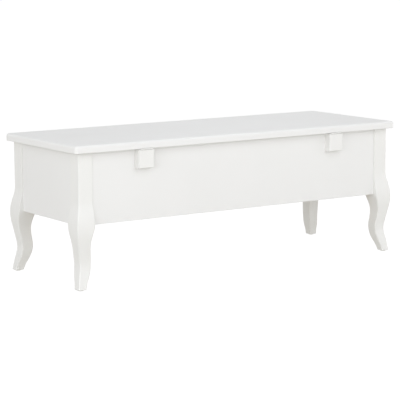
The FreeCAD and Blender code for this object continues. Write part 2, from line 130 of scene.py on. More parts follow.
# Soft boxes: degrees round from behind the bench towards its left end, degrees up, metres away,
# metres square, watts. Most stand behind the bench, and three fill its top and its front.
SOFT_BOXES = [
    (-60, 12, 3.0, 1.5, 13.5), (0, 12, 3.0, 1.5, 21.5), (60, 12, 3.0, 1.5, 21.4), (90, 12, 3.0, 1.5, 8.8),
    (0, 45, 3.0, 1.5, 14.0), (90, 45, 3.0, 1.5, 5.6), (-135, 50, 3.0, 1.5, 18.8),
    (-150, 25, 3.0, 1.5, 3.0), (150, 25, 3.0, 1.5, 7.5),
]
for number, (around, above, away, size, watts) in enumerate(SOFT_BOXES):
    lamp = bpy.data.lights.new("soft_box_%d" % number, "AREA")
    lamp.size = size
    lamp.energy = watts
    lamp.color = linear("#FCFDFF")[:3]
    turn, rise = math.radians(around), math.radians(above)
    towards = Vector((math.sin(turn) * math.cos(rise), math.cos(turn) * math.cos(rise), math.sin(rise)))
    stand = link_object(lamp.name, lamp)
    stand.location = STUDIO_CENTRE + away * towards
    stand.rotation_euler = towards.to_track_quat("Z", "Y").to_euler()

LENS_MM = 156.204
CAMERA_PLACE = (2.82488, 4.17317, 0.94323)
HEADING = math.radians(-123.9133)
TILT = math.radians(-8.6217)
BANK = math.radians(-0.2234)
camera_data = bpy.data.cameras.new("camera")
camera_data.lens = LENS_MM
camera_data.sensor_width = 36.0
camera_data.clip_end = 200.0
camera = link_object("camera", camera_data)
ahead = Vector((math.cos(TILT) * math.cos(HEADING), math.cos(TILT) * math.sin(HEADING), math.sin(TILT)))
right = ahead.cross(Vector((0, 0, 1))).normalized()
upward = right.cross(ahead)
level = Matrix((right, upward, -ahead)).transposed()
camera.matrix_world = Matrix.Translation(CAMERA_PLACE) @ (level @ Matrix.Rotation(BANK, 3, "Z")).to_4x4()
scene.camera = camera


# ---------------------------------------------------------------- lid board
# The seat is one MDF board, 21 mm thick, moulded with a full round over its top edge, eased below
# and sprayed with white satin lacquer. Two shallow beds for the butt hinges are cut in its underside.
def white_lacquer(name, tones, grain):
    """Two coats of sprayed lacquer, in two close tones, and a third, greyer tone painted on the eased
    edges as painted shade.

    grain is how far the wood below still tells in its surface.
    """
    made, tree = new_material(name)
    where = node(tree, "ShaderNodeTexCoord").outputs["Object"]
    cloud = node(tree, "ShaderNodeTexNoise", {"Vector": where, "Scale": 1000 / 160, "Detail": 3.0})
    tinted = node(tree, "ShaderNodeMix", {
        "Factor": cloud, "A": linear(tones[0]), "B": linear(tones[1])}, data_type="RGBA")
    # Painted shade: the eased edges are mixed towards the third, greyer tone, which damps the highlight
    # on the rounds; they are also made a little glossier
    eased = node(tree, "ShaderNodeBevel", {"Radius": 2.5 * MM}, samples=4)
    facing = node(tree, "ShaderNodeNewGeometry").outputs["Normal"]
    lean = node(tree, "ShaderNodeVectorMath", {0: eased, 1: facing}, operation="DOT_PRODUCT")
    edge = node(tree, "ShaderNodeMapRange", {
        "Value": lean.outputs["Value"], "From Min": 0.995, "From Max": 0.90})
    edge_shaded_tone = node(tree, "ShaderNodeMix", {
        "Factor": edge, "A": tinted.outputs["Result"], "B": linear(tones[2])}, data_type="RGBA")
    # Orange peel is about 1.5 mm from crest to crest; drawn at 4 mm so that it shows
    peel = node(tree, "ShaderNodeTexNoise", {"Vector": where, "Scale": 1000 / 4, "Detail": 1.0})
    gloss = node(tree, "ShaderNodeTexNoise", {"Vector": where, "Scale": 1000 / 45, "Detail": 2.0})
    rough = node(tree, "ShaderNodeMapRange", {"Value": gloss, "To Min": 0.48, "To Max": 0.58})
    rubbed = node(tree, "ShaderNodeMath", {0: edge, 1: -0.02, 2: rough}, operation="MULTIPLY_ADD")
    along = node(tree, "ShaderNodeMapping", {"Vector": where, "Scale": (1.0, 1.0, 0.06)})
    fibre = node(tree, "ShaderNodeTexNoise", {"Vector": along, "Scale": 1000 / 3, "Detail": 3.0})
    swollen = node(tree, "ShaderNodeBump", {
        "Height": fibre, "Strength": grain, "Distance": 0.12 * MM})
    relief = node(tree, "ShaderNodeBump", {
        "Height": peel, "Strength": 0.35, "Distance": 0.05 * MM, "Normal": swollen})
    surface = node(tree, "ShaderNodeBsdfPrincipled", {
        "Base Color": edge_shaded_tone.outputs["Result"], "Roughness": rubbed, "Normal": relief, "IOR": 1.48,
        "Specular IOR Level": 0.3})
    node(tree, "ShaderNodeOutputMaterial", {"Surface": surface})
    return made


# Satin lacquer on MDF: closed and even, faintly rippled, never quite flat in the light
# Its third tone is painted shade for the eased edges
lacquered_mdf = white_lacquer("satin_lacquer_on_mdf", ("#EEEEED", "#EAEAE9", "#DEDEDC"), 0.0)


def rounded_ring(half_x, half_y, radius, z, steps):
    """One level of a board with rounded corners, as points anticlockwise from +X."""
    points = []
    for corner in range(4):
        middle = math.radians(45 + 90 * corner)
        cx = math.copysign(half_x - radius, math.cos(middle))
        cy = math.copysign(half_y - radius, math.sin(middle))
        for step in range(steps + 1):
            angle = math.radians(90 * (corner + step / steps))
            points.append((cx + radius * math.cos(angle), cy + radius * math.sin(angle), z))
    return points


def stacked(name, rings):
    """A closed mesh from rings of equal count, lowest first, with a flat face on each end."""
    count = len(rings[0])
    faces = [tuple(reversed(range(count)))]
    for level in range(len(rings) - 1):
        low, high = level * count, (level + 1) * count
        for i in range(count):
            after = (i + 1) % count
            faces.append((low + i, low + after, high + after, high + i))
    faces.append(tuple(range((len(rings) - 1) * count, len(rings) * count)))
    mesh = bpy.data.meshes.new(name)
    mesh.from_pydata([p for ring in rings for p in ring], [], faces)
    return mesh


def finished(piece, material, body, slot, *stands_for, sharp=40.0):
    """Makes a piece's modifiers real, smooths its rounds, and sets it on its body in its finish."""
    piece.data.shade_smooth()
    piece.data.set_sharp_from_angle(angle=math.radians(sharp))
    even = piece.modifiers.new("even", "WEIGHTED_NORMAL")
    even.keep_sharp = True
    seen = piece.evaluated_get(bpy.context.evaluated_depsgraph_get())
    piece.data = bpy.data.meshes.new_from_object(seen)
    piece.data.name = piece.name
    piece.modifiers.clear()
    piece.data.materials.clear()
    piece.data.materials.append(material)
    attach(piece, body)
    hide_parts(*stands_for)
    return piece


def carve(piece, cutter_mesh):
    """Takes a cutter away from a piece for good."""
    cutter = link_object("cutter", cutter_mesh)
    saw = piece.modifiers.new("saw", "BOOLEAN")
    saw.operation, saw.solver, saw.use_self, saw.object = "DIFFERENCE", "EXACT", True, cutter
    seen = piece.evaluated_get(bpy.context.evaluated_depsgraph_get())
    piece.data = bpy.data.meshes.new_from_object(seen)
    piece.modifiers.clear()
    bpy.data.objects.remove(cutter)


LID_CORNER = 9.0 * MM
LID_TOP_ROUND = 7.5 * MM
LID_BOTTOM_EASE = 1.2 * MM
ROUND_STEPS = 8
EASE_STEPS = 4
CORNER_STEPS = 8
LEAST_CORNER = 0.25 * MM
PIN_Z = (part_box("hinge_pin_left")[0].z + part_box("hinge_pin_left")[1].z) / 2
LEAF = 1.2 * MM
LEAF_DEPTH = 16.3 * MM
HALF_BED = 19.3 * MM
KNUCKLE_ROOM = 2.8 * MM
KNUCKLE_STEPS = 12
BEYOND_EDGE = 4.0 * MM

lid_low, lid_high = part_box("lid_board")
profile = [(LID_BOTTOM_EASE + 2 * MM, lid_low.z)]
for step in range(EASE_STEPS + 1):
    turn = math.radians(90 * step / EASE_STEPS)
    inset, rise = 1 - math.sin(turn), 1 - math.cos(turn)
    profile.append((LID_BOTTOM_EASE * inset, lid_low.z + LID_BOTTOM_EASE * rise))
for step in range(ROUND_STEPS + 1):
    turn = math.radians(90 * step / ROUND_STEPS)
    inset, drop = 1 - math.cos(turn), 1 - math.sin(turn)
    profile.append((LID_TOP_ROUND * inset, lid_high.z - LID_TOP_ROUND * drop))
profile.append((LID_TOP_ROUND + 1.2 * MM, lid_high.z))
rings = []
for inset, z in profile:
    radius = max(LID_CORNER - inset, LEAST_CORNER)
    rings.append(rounded_ring(lid_high.x - inset, lid_high.y - inset, radius, z, CORNER_STEPS))
lid = link_object("lid", stacked("lid", rings))


def hinge_bed(side, way):
    """Where a hinge lies: a shallow bed for the leaf and a round notch for its knuckles."""
    low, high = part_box("hinge_pin_" + side)
    middle = (low.x + high.x) / 2
    back = lid_high.y
    start = math.asin(LEAF / KNUCKLE_ROOM)
    section = [(back + BEYOND_EDGE, -1 * MM), (back - LEAF_DEPTH, -1 * MM), (back - LEAF_DEPTH, LEAF)]
    for step in range(KNUCKLE_STEPS + 1):
        turn = (math.pi - start) * (1 - step / KNUCKLE_STEPS)
        section.append((back + KNUCKLE_ROOM * math.cos(turn), KNUCKLE_ROOM * math.sin(turn)))
    section.append((back + BEYOND_EDGE, 0.0))
    rings = [[(middle + x, y, PIN_Z + way * z) for y, z in section] for x in (-HALF_BED, HALF_BED)]
    mesh = stacked("hinge_bed", rings)
    shape = bmesh.new()
    shape.from_mesh(mesh)
    bmesh.ops.recalc_face_normals(shape, faces=shape.faces)
    shape.to_mesh(mesh)
    shape.free()
    return mesh


for side in ("left", "right"):
    carve(lid, hinge_bed(side, 1))
finished(lid, lacquered_mdf, "lid", "lacquered_board", "lid_board")


# ---------------------------------------------------------------- legs
# Each leg is one length of rubberwood: a square post above, and below it a cabriole leg sawn from two
# sides to the same pattern, its arrises eased, then sprayed like the rest.
LEG_CLEAR = 176.0 * MM
POST = 45.0 * MM
ARRIS = 3.5 * MM
ARRIS_STEPS = 5
SOLE_EASE = 1.0 * MM
POST_TOP_EASE = 0.6 * MM
PATTERN_LEVELS = 74
# Share of the clear height, and how far the pattern swells out of the post's outer face
SWELL = [(1.386, 0.0), (1.244, 3.4), (1.108, 8.8), (0.972, 11.1), (0.835, 9.7),
         (0.693, 5.4), (0.551, 1.0), (0.369, -2.5), (0.199, 2.6), (0.0, 8.6)]
# Share of the clear height, and how far the pattern is cut back from the post's inner face
HOLLOW = [(1.0, 0.0), (0.892, 4.6), (0.784, 9.4), (0.682, 11.1), (0.58, 10.0),
          (0.443, 7.6), (0.312, 9.6), (0.21, 14.9), (0.108, 22.4), (0.0, 28.0)]
leg_low, leg_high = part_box("leg_rear_left")
free_height = LEG_CLEAR - leg_low.z


def fair_curve(points, first, last):
    """A smooth line through points with set directions at its ends, as dense points."""
    places = np.array(points, float)
    gaps = np.linalg.norm(np.diff(places, axis=0), axis=1)
    count = len(places)
    system, known = np.zeros((count, count)), np.zeros((count, 2))
    system[0, 0] = system[-1, -1] = 1.0
    known[0] = np.array(first) / np.linalg.norm(first)
    known[-1] = np.array(last) / np.linalg.norm(last)
    steps = np.diff(places, axis=0) / gaps[:, None]
    for i in range(1, count - 1):
        system[i, i - 1:i + 2] = gaps[i], 2 * (gaps[i - 1] + gaps[i]), gaps[i - 1]
        known[i] = 3 * (gaps[i] * steps[i - 1] + gaps[i - 1] * steps[i])
    slopes = np.linalg.solve(system, known)
    out = []
    for i, gap in enumerate(gaps):
        for t in np.linspace(0, 1, 24, endpoint=i == count - 2):
            a, b = 2 * t**3 - 3 * t**2 + 1, 3 * t**2 - 2 * t**3
            c, d = gap * (t**3 - 2 * t**2 + t), gap * (t**3 - t**2)
            out.append(a * places[i] + b * places[i + 1] + c * slopes[i] + d * slopes[i + 1])
    return np.array(out)


outer = [(-s * MM, leg_low.z + h * free_height) for h, s in SWELL]
inner = [(POST - s * MM, leg_low.z + h * free_height) for h, s in HOLLOW]
outer = fair_curve(outer, (0, -1), (-0.2, -1))
inner = fair_curve(inner, (-0.1, -1), (-0.2, -1))
levels = np.concatenate([
    [leg_low.z, leg_low.z + SOLE_EASE], np.linspace(leg_low.z + 3 * MM, outer[0, 1], PATTERN_LEVELS),
    [outer[0, 1] + 20 * MM, leg_high.z - POST_TOP_EASE, leg_high.z]])
near = np.interp(levels, outer[::-1, 1], outer[::-1, 0], right=0.0)
far = np.interp(levels, inner[::-1, 1], inner[::-1, 0], right=POST)
for row, ease in ((0, SOLE_EASE), (-1, POST_TOP_EASE)):
    near[row] += ease
    far[row] -= ease


def tube_grid(tree, columns, rows):
    """A grid with one column of points to each line of a tube: the grid, column and row numbers."""
    grid = node(tree, "GeometryNodeMeshGrid", {"Vertices X": columns, "Vertices Y": rows})
    wide = node(tree, "ShaderNodeMath", {0: columns, 1: 1.0}, operation="SUBTRACT")
    high = node(tree, "ShaderNodeMath", {0: rows, 1: 1.0}, operation="SUBTRACT")
    tree.links.new(wide.outputs[0], grid.inputs["Size X"])
    tree.links.new(high.outputs[0], grid.inputs["Size Y"])
    spot = node(tree, "ShaderNodeSeparateXYZ", {0: node(tree, "GeometryNodeInputPosition")})
    column = node(tree, "ShaderNodeMath", {
        0: wide, 1: 0.5, 2: spot.outputs["X"]}, operation="MULTIPLY_ADD")
    row = node(tree, "ShaderNodeMath", {
        0: high, 1: 0.5, 2: spot.outputs["Y"]}, operation="MULTIPLY_ADD")
    column = node(tree, "ShaderNodeMath", {0: column}, operation="ROUND")
    row = node(tree, "ShaderNodeMath", {0: row}, operation="ROUND")
    return grid, column, row


def geometry_tree(name, sizes):
    """A node group for a modifier, with named inputs for its sizes and one for its material."""
    tree = bpy.data.node_groups.new(name, "GeometryNodeTree")
    tree.interface.new_socket("Geometry", in_out="INPUT", socket_type="NodeSocketGeometry")
    for label, kind in sizes:
        tree.interface.new_socket(label, in_out="INPUT", socket_type=kind)
    tree.interface.new_socket("Material", in_out="INPUT", socket_type="NodeSocketMaterial")
    tree.interface.new_socket("Geometry", in_out="OUTPUT", socket_type="NodeSocketGeometry")
    return tree, node(tree, "NodeGroupInput").outputs


def grown(name, base_mesh, tree, values):
    """Runs a node group on a mesh with its inputs set, and keeps the result as a plain mesh."""
    made = link_object(name, base_mesh)
    grow = made.modifiers.new("grow", "NODES")
    grow.node_group = tree
    sockets = {s.name: s.identifier for s in tree.interface.items_tree if s.in_out == "INPUT"}
    for label, value in values.items():
        grow[sockets[label]] = value
    seen = made.evaluated_get(bpy.context.evaluated_depsgraph_get())
    made.data = bpy.data.meshes.new_from_object(seen)
    made.modifiers.clear()
    return made


leg_tree, given = geometry_tree("cabriole_leg", [
    ("Arris", "NodeSocketFloat"), ("Corner Steps", "NodeSocketInt"),
    ("Turn", "NodeSocketFloat"), ("Place", "NodeSocketVector")])
rows = node(leg_tree, "GeometryNodeAttributeDomainSize", {0: given["Geometry"]}).outputs["Point Count"]
per_corner = node(leg_tree, "ShaderNodeMath", {0: given["Corner Steps"], 1: 1.0}, operation="ADD")
columns = node(leg_tree, "ShaderNodeMath", {0: per_corner, 1: 4.0, 2: 1.0}, operation="MULTIPLY_ADD")
grid, column, row = tube_grid(leg_tree, columns, rows)
share = node(leg_tree, "ShaderNodeMath", {0: column, 1: per_corner}, operation="DIVIDE")
corner = node(leg_tree, "ShaderNodeMath", {0: share}, operation="FLOOR")
step = node(leg_tree, "ShaderNodeMath", {0: column, 1: per_corner}, operation="FLOORED_MODULO")
part = node(leg_tree, "ShaderNodeMath", {0: step, 1: given["Corner Steps"]}, operation="DIVIDE")
quarter = node(leg_tree, "ShaderNodeMath", {0: part, 1: corner}, operation="ADD")
angle = node(leg_tree, "ShaderNodeMath", {0: quarter, 1: math.pi / 2}, operation="MULTIPLY")
middle = node(leg_tree, "ShaderNodeMath", {
    0: corner, 1: math.pi / 2, 2: math.pi / 4}, operation="MULTIPLY_ADD")
lines = {}
for label in ("near", "far"):
    stored = node(leg_tree, "GeometryNodeInputNamedAttribute", {"Name": label}, data_type="FLOAT")
    lines[label] = node(leg_tree, "GeometryNodeSampleIndex", {
        "Geometry": given["Geometry"], "Value": stored, "Index": row}, data_type="FLOAT")
spot = node(leg_tree, "GeometryNodeInputPosition")
height = node(leg_tree, "GeometryNodeSampleIndex", {
    "Geometry": given["Geometry"], "Index": row}, data_type="FLOAT_VECTOR")
leg_tree.links.new(spot.outputs[0], [s for s in height.inputs if s.name == "Value" and s.enabled][0])
wide = node(leg_tree, "ShaderNodeMath", {0: lines["far"], 1: lines["near"]}, operation="SUBTRACT")
total = node(leg_tree, "ShaderNodeMath", {0: lines["far"], 1: lines["near"]}, operation="ADD")
centre = node(leg_tree, "ShaderNodeMath", {0: total, 1: 0.5}, operation="MULTIPLY")
flat = node(leg_tree, "ShaderNodeMath", {0: wide, 1: 0.5}, operation="MULTIPLY")
flat = node(leg_tree, "ShaderNodeMath", {0: flat, 1: given["Arris"]}, operation="SUBTRACT")
sides = []
for wave in ("COSINE", "SINE"):
    lean = node(leg_tree, "ShaderNodeMath", {0: middle}, operation=wave)
    lean = node(leg_tree, "ShaderNodeMath", {0: lean}, operation="SIGN")
    bend = node(leg_tree, "ShaderNodeMath", {0: angle}, operation=wave)
    seat = node(leg_tree, "ShaderNodeMath", {0: lean, 1: flat, 2: centre}, operation="MULTIPLY_ADD")
    sides.append(node(leg_tree, "ShaderNodeMath", {
        0: bend, 1: given["Arris"], 2: seat}, operation="MULTIPLY_ADD"))
tall = node(leg_tree, "ShaderNodeSeparateXYZ", {0: height}).outputs["Z"]
place = node(leg_tree, "ShaderNodeCombineXYZ", {"X": sides[0], "Y": sides[1], "Z": tall})
shaped = node(leg_tree, "GeometryNodeSetPosition", {"Geometry": grid, "Position": place})
welded = node(leg_tree, "GeometryNodeMergeByDistance", {"Geometry": shaped, "Distance": 0.01 * MM})
spin = node(leg_tree, "ShaderNodeCombineXYZ", {"Z": given["Turn"]})
stood = node(leg_tree, "GeometryNodeTransform", {
    "Geometry": welded, "Translation": given["Place"], "Rotation": spin})
real = node(leg_tree, "GeometryNodeRealizeInstances", {"Geometry": stood})
coated = node(leg_tree, "GeometryNodeSetMaterial", {"Geometry": real, "Material": given["Material"]})
node(leg_tree, "NodeGroupOutput", {0: coated})

# Satin lacquer on solid wood: the grain has risen a little under the film and reads as faint lines
# Its third tone is painted shade for the eased edges
lacquered_wood = white_lacquer("satin_lacquer_on_rubberwood", ("#EEEEEC", "#EBEBE9", "#DEDEDC"), 0.18)
TURNS = {(1, 1): 180.0, (-1, 1): 270.0, (1, -1): 90.0, (-1, -1): 0.0}
for (side_x, side_y), turn in TURNS.items():
    name = "leg_" + ("rear" if side_y > 0 else "front") + ("_left" if side_x > 0 else "_right")
    low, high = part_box(name)
    swell_most = -near.min()
    spot = (side_x * (max(abs(low.x), abs(high.x)) - swell_most),
            side_y * (max(abs(low.y), abs(high.y)) - swell_most), 0.0)
    pattern = bpy.data.meshes.new("leg_pattern")
    pattern.from_pydata([(0, 0, z) for z in levels], [], [])
    for label, values in (("near", near), ("far", far)):
        stored = pattern.attributes.new(label, "FLOAT", "POINT")
        stored.data.foreach_set("value", values.astype(np.float32))
    leg = grown(name + "_turned", pattern, leg_tree, {
        "Arris": ARRIS, "Corner Steps": ARRIS_STEPS, "Turn": math.radians(turn), "Place": spot,
        "Material": lacquered_wood})
    shape = bmesh.new()
    shape.from_mesh(leg.data)
    bmesh.ops.holes_fill(shape, edges=shape.edges, sides=0)
    bmesh.ops.recalc_face_normals(shape, faces=shape.faces)
    shape.to_mesh(leg.data)
    shape.free()
    finished(leg, lacquered_wood, "case", "lacquered_wood", name)


# ---------------------------------------------------------------- panels
# Four 15 mm MDF panels stand 4 mm behind the faces of the posts. They are dowelled, and drawn tight by
# cams in round bores on the inside. Their edges are eased before spraying.
EDGE_EASE = 0.8 * MM
CAM_BORE_RADIUS = 7.5 * MM
CAM_BORE_DEPTH = 12.5 * MM


def eased_box(name, low, high, ease, along=None):
    """A board between two corners with its edges rounded, or only those that run along one axis."""
    shape = bmesh.new()
    middle, size = (low + high) / 2, high - low
    bmesh.ops.create_cube(shape, matrix=Matrix.Translation(middle) @ Matrix.Diagonal((*size, 1)))
    chosen = [
        e for e in shape.edges
        if along is None or abs((e.verts[0].co - e.verts[1].co)[along]) > 1 * MM]
    bmesh.ops.bevel(shape, geom=chosen, offset=ease, segments=3, profile=0.5, affect="EDGES")
    mesh = bpy.data.meshes.new(name)
    shape.to_mesh(mesh)
    shape.free()
    return link_object(name, mesh)


def loose_solids(name):
    """The points of each separate solid of a CAD node."""
    shape = bmesh.new()
    shape.from_mesh(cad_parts[name].data)
    bmesh.ops.remove_doubles(shape, verts=shape.verts, dist=0.001 * MM)
    found, seen = [], set()
    for first in shape.verts:
        if first in seen:
            continue
        group, waiting = [], [first]
        seen.add(first)
        while waiting:
            point = waiting.pop()
            group.append(point.co[:])
            for edge in point.link_edges:
                other = edge.other_vert(point)
                if other not in seen:
                    seen.add(other)
                    waiting.append(other)
        found.append(np.array(group))
    shape.free()
    return found


def turned(outline, place, way, count=28):
    """A solid of revolution: (depth, radius) pairs from a place along a direction."""
    lean = Vector(way).normalized().to_track_quat("Z", "Y").to_matrix()
    rings = []
    for depth, radius in outline:
        ring = []
        for i in range(count):
            angle = 2 * math.pi * i / count
            spot = Vector((radius * math.cos(angle), radius * math.sin(angle), depth))
            ring.append(tuple(Vector(place) + lean @ spot))
        rings.append(ring)
    return rings


def joined(name, ring_sets):
    """Several turned solids in one mesh."""
    shape = bmesh.new()
    for rings in ring_sets:
        shape.from_mesh(stacked("part", rings))
    mesh = bpy.data.meshes.new(name)
    shape.to_mesh(mesh)
    shape.free()
    return mesh


def cam_bores(panel_name, axis):
    """The bores for the cams of one panel: they open on the face that looks into the box."""
    low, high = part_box(panel_name)
    side = 1 if high[axis] > -low[axis] else -1
    bores = []
    for points in loose_solids("cam_locks"):
        spread = points.max(0) - points.min(0)
        middle = (points.max(0) + points.min(0)) / 2
        if int(np.argmin(spread)) != axis or middle[axis] * side < 0:
            continue
        mouth = low[axis] if side > 0 else high[axis]
        middle[axis] = mouth - side * 1 * MM
        way = [0, 0, 0]
        way[axis] = side
        outline = [(0, CAM_BORE_RADIUS), (CAM_BORE_DEPTH + 1 * MM, CAM_BORE_RADIUS)]
        bores.append(turned(outline, middle, way))
    return bores


def screw_facts(name):
    """Each screw of a CAD node: the middle of its head, its direction, and its three sizes."""
    found = []
    for points in loose_solids(name):
        low, high = points.min(0), points.max(0)
        axis = int(np.argmax(high - low))
        middle = (low + high) / 2
        out = np.linalg.norm(np.delete(points - middle, axis, axis=1), axis=1)
        depth = points[:, axis]
        head_low = out[depth < low[axis] + 0.05 * MM].max() > out[depth > high[axis] - 0.05 * MM].max()
        way = [0.0, 0.0, 0.0]
        way[axis] = 1.0 if head_low else -1.0
        place = middle.copy()
        place[axis] = low[axis] if head_low else high[axis]
        length = high[axis] - low[axis]
        deep = np.abs(depth - place[axis])
        shank = out[(deep > 0.6 * length) & (deep < length - 0.05 * MM)].max()
        found.append((place, way, out.max(), shank, length))
    return found


def screw_holes(name, chosen=lambda place: True):
    """Countersunk holes for the screws of a node, a hair wider than they are."""
    room = 0.05 * MM
    holes = []
    for place, way, head, shank, length in screw_facts(name):
        if chosen(place):
            start = Vector(place) - Vector(way) * 1 * MM
            outline = [(0, head + room), (1 * MM, head + room), (1 * MM + head - shank, shank + room),
                       (length + 1 * MM, shank + room)]
            holes.append(turned(outline, start, way))
    return holes


PANELS = {"back_panel": 1, "front_panel": 1, "side_panel_left": 0, "side_panel_right": 0}
for name, axis in PANELS.items():
    low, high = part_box(name)
    board = eased_box(name + "_board", low, high, EDGE_EASE, along=1 - axis)
    cutters = cam_bores(name, axis)
    if name == "back_panel":
        cutters += screw_holes("hinge_block_screws")
    carve(board, joined("bores", cutters))
    finished(board, lacquered_mdf, "case", "lacquered_board", name)


# ---------------------------------------------------------------- floor panel
# The floor is a loose 9 mm board faced with white melamine, notched round the posts and screwed down
# on the cleats.

# Melamine is hard, even and a little grey, with the fine pebble of the plate it was pressed with
melamine, tree = new_material("white_melamine_board")
where = node(tree, "ShaderNodeTexCoord").outputs["Object"]
cloud = node(tree, "ShaderNodeTexNoise", {"Vector": where, "Scale": 1000 / 90, "Detail": 2.0})
shade = node(tree, "ShaderNodeValToRGB", {"Fac": cloud})
shade.color_ramp.elements[0].color = linear("#E6E6E3")
shade.color_ramp.elements[1].color = linear("#EBEBE8")
# The press plate's pebble is 0.3 mm; drawn at 2 mm so that it shows
pebble = node(tree, "ShaderNodeTexVoronoi", {"Vector": where, "Scale": 1000 / 2}, feature="SMOOTH_F1")
rough = node(tree, "ShaderNodeMapRange", {"Value": pebble, "To Min": 0.42, "To Max": 0.55})
relief = node(tree, "ShaderNodeBump", {"Height": pebble, "Strength": 0.3, "Distance": 0.05 * MM})
surface = node(tree, "ShaderNodeBsdfPrincipled", {
    "Base Color": shade.outputs["Color"], "Roughness": rough, "Normal": relief, "IOR": 1.5})
node(tree, "ShaderNodeOutputMaterial", {"Surface": surface})

NOTCH_X = 487.0 * MM
NOTCH_Y = 137.0 * MM
low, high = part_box("floor_panel")
outline = [(high.x, NOTCH_Y), (NOTCH_X, NOTCH_Y), (NOTCH_X, high.y)]
outline += [(-x, y) for x, y in reversed(outline)]
outline += [(-x, -y) for x, y in outline]
rings = [[(x, y, z) for x, y in outline] for z in (low.z, high.z)]
floor_board = link_object("floor_board", stacked("floor_board", rings))
ease = floor_board.modifiers.new("ease", "BEVEL")
ease.width, ease.segments, ease.limit_method = 0.5 * MM, 2, "ANGLE"
carve(floor_board, joined("bores", screw_holes("floor_screws")))
finished(floor_board, melamine, "case", "floor_board", "floor_panel")


# ---------------------------------------------------------------- cleats
# Planed pine battens, 18 mm square, are screwed along the bottom of each panel to carry the floor.
# They are left bare, and never seen once the floor is in.

# Planed pine is honey-coloured and silky, with straight grain and darker late wood
pine, tree = new_material("planed_pine")
where = node(tree, "ShaderNodeTexCoord").outputs["Object"]
long_way = node(tree, "ShaderNodeMapping", {"Vector": where, "Scale": (0.05, 0.05, 1.0)})
wander = node(tree, "ShaderNodeTexNoise", {"Vector": where, "Scale": 1000 / 120, "Detail": 2.0})
shifted = node(tree, "ShaderNodeVectorMath", {
    0: wander.outputs["Color"], 1: (0.012,) * 3, 2: long_way}, operation="MULTIPLY_ADD")
# Growth rings in pine are 2 to 4 mm apart
rings_of_growth = node(tree, "ShaderNodeTexWave", {
    "Vector": shifted, "Scale": 1000 / 55, "Distortion": 3.0, "Detail": 2.0},
    wave_type="BANDS", bands_direction="Z", wave_profile="SAW")
shade = node(tree, "ShaderNodeValToRGB", {"Fac": rings_of_growth.outputs["Fac"]})
shade.color_ramp.elements[0].color = linear("#E3C797")
shade.color_ramp.elements[1].color = linear("#C79F66")
fibre = node(tree, "ShaderNodeTexNoise", {"Vector": long_way, "Scale": 1000 / 1.2, "Detail": 4.0})
rough = node(tree, "ShaderNodeMapRange", {"Value": fibre, "To Min": 0.55, "To Max": 0.75})
relief = node(tree, "ShaderNodeBump", {"Height": fibre, "Strength": 0.5, "Distance": 0.1 * MM})
surface = node(tree, "ShaderNodeBsdfPrincipled", {
    "Base Color": shade.outputs["Color"], "Roughness": rough, "Normal": relief, "IOR": 1.5})
node(tree, "ShaderNodeOutputMaterial", {"Surface": surface})



def within(low, high):
    """A test for the places inside a box, with 1 mm to spare."""
    return lambda place: all(low[i] - 1 * MM < place[i] < high[i] + 1 * MM for i in range(3))


CLEAT_EASE = 1.2 * MM
for side in ("rear", "front", "left", "right"):
    name = "cleat_" + side
    low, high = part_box(name)
    batten = eased_box(name + "_batten", low, high, CLEAT_EASE)
    carve(batten, joined("bores", screw_holes("cleat_screws", within(low, high))))
    finished(batten, pine, "case", "cleat_wood", name)


# ---------------------------------------------------------------- hinge blocks
# Two small blocks of the legs' wood stand on the back panel and reach out to the lid's edge, so that
# the lid can swing about it. Their outer edges are rounded and their tops are bedded for the hinges.
BLOCK_ROUND = 2.5 * MM
for side in ("left", "right"):
    low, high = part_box("hinge_block_" + side)
    shape = bmesh.new()
    middle, size = (low + high) / 2, high - low
    bmesh.ops.create_cube(shape, matrix=Matrix.Translation(middle) @ Matrix.Diagonal((*size, 1)))
    outer_edges = [
        e for e in shape.edges
        if all(v.co.y > high.y - 0.1 * MM for v in e.verts)
        and any(v.co.z < low.z + 0.1 * MM for v in e.verts)]
    bmesh.ops.bevel(shape, geom=outer_edges, offset=BLOCK_ROUND, segments=6, profile=0.5, affect="EDGES")
    mesh = bpy.data.meshes.new("hinge_block")
    shape.to_mesh(mesh)
    shape.free()
    hinge_block = link_object("spacer_block_" + side, mesh)
    carve(hinge_block, hinge_bed(side, -1))
    finished(hinge_block, lacquered_wood, "case", "lacquered_wood", "hinge_block_" + side)


# ---------------------------------------------------------------- hinges
# Butt hinges of pressed steel, 38 mm long, five knuckles on a steel pin, stove-enamelled white to be
# lost against the bench. One leaf is let into the block and one into the lid.
def mottled(name, tones, patterns, roughness, bump, shader):
    """A finish whose tones follow the first pattern, and whose roughness and relief the last.

    A pattern is its grain in millimetres and the octaves of its noise, or "dents" for rounded cells.
    bump is the relief's strength and its depth in millimetres.
    """
    made, tree = new_material(name)
    where = node(tree, "ShaderNodeTexCoord").outputs["Object"]
    drawn = []
    for grain, octaves in patterns:
        if octaves == "dents":
            drawn.append(node(tree, "ShaderNodeTexVoronoi", {
                "Vector": where, "Scale": 1000 / grain}, feature="SMOOTH_F1"))
        else:
            drawn.append(node(tree, "ShaderNodeTexNoise", {
                "Vector": where, "Scale": 1000 / grain, "Detail": octaves}))
    shade = node(tree, "ShaderNodeValToRGB", {"Fac": drawn[0]})
    for stop, tone in zip(shade.color_ramp.elements, tones):
        stop.color = linear(tone)
    rough = node(tree, "ShaderNodeMapRange", {
        "Value": drawn[-1], "To Min": roughness[0], "To Max": roughness[1]})
    relief = node(tree, "ShaderNodeBump", {
        "Height": drawn[-1], "Strength": bump[0], "Distance": bump[1] * MM})
    surface = node(tree, "ShaderNodeBsdfPrincipled", {
        "Base Color": shade.outputs["Color"], "Roughness": rough, "Normal": relief, **shader})
    node(tree, "ShaderNodeOutputMaterial", {"Surface": surface})
    return made


# Stove enamel is smooth and glossier than the lacquer, and pools in a soft ripple about 2 mm across
enamel = mottled(
    "white_stove_enamel", ("#E9E9E7", "#F0F0EE"), [(2, 1.0)], (0.22, 0.32), (0.2, 0.05),
    {"IOR": 1.5, "Coat Weight": 0.3, "Coat Roughness": 0.1})


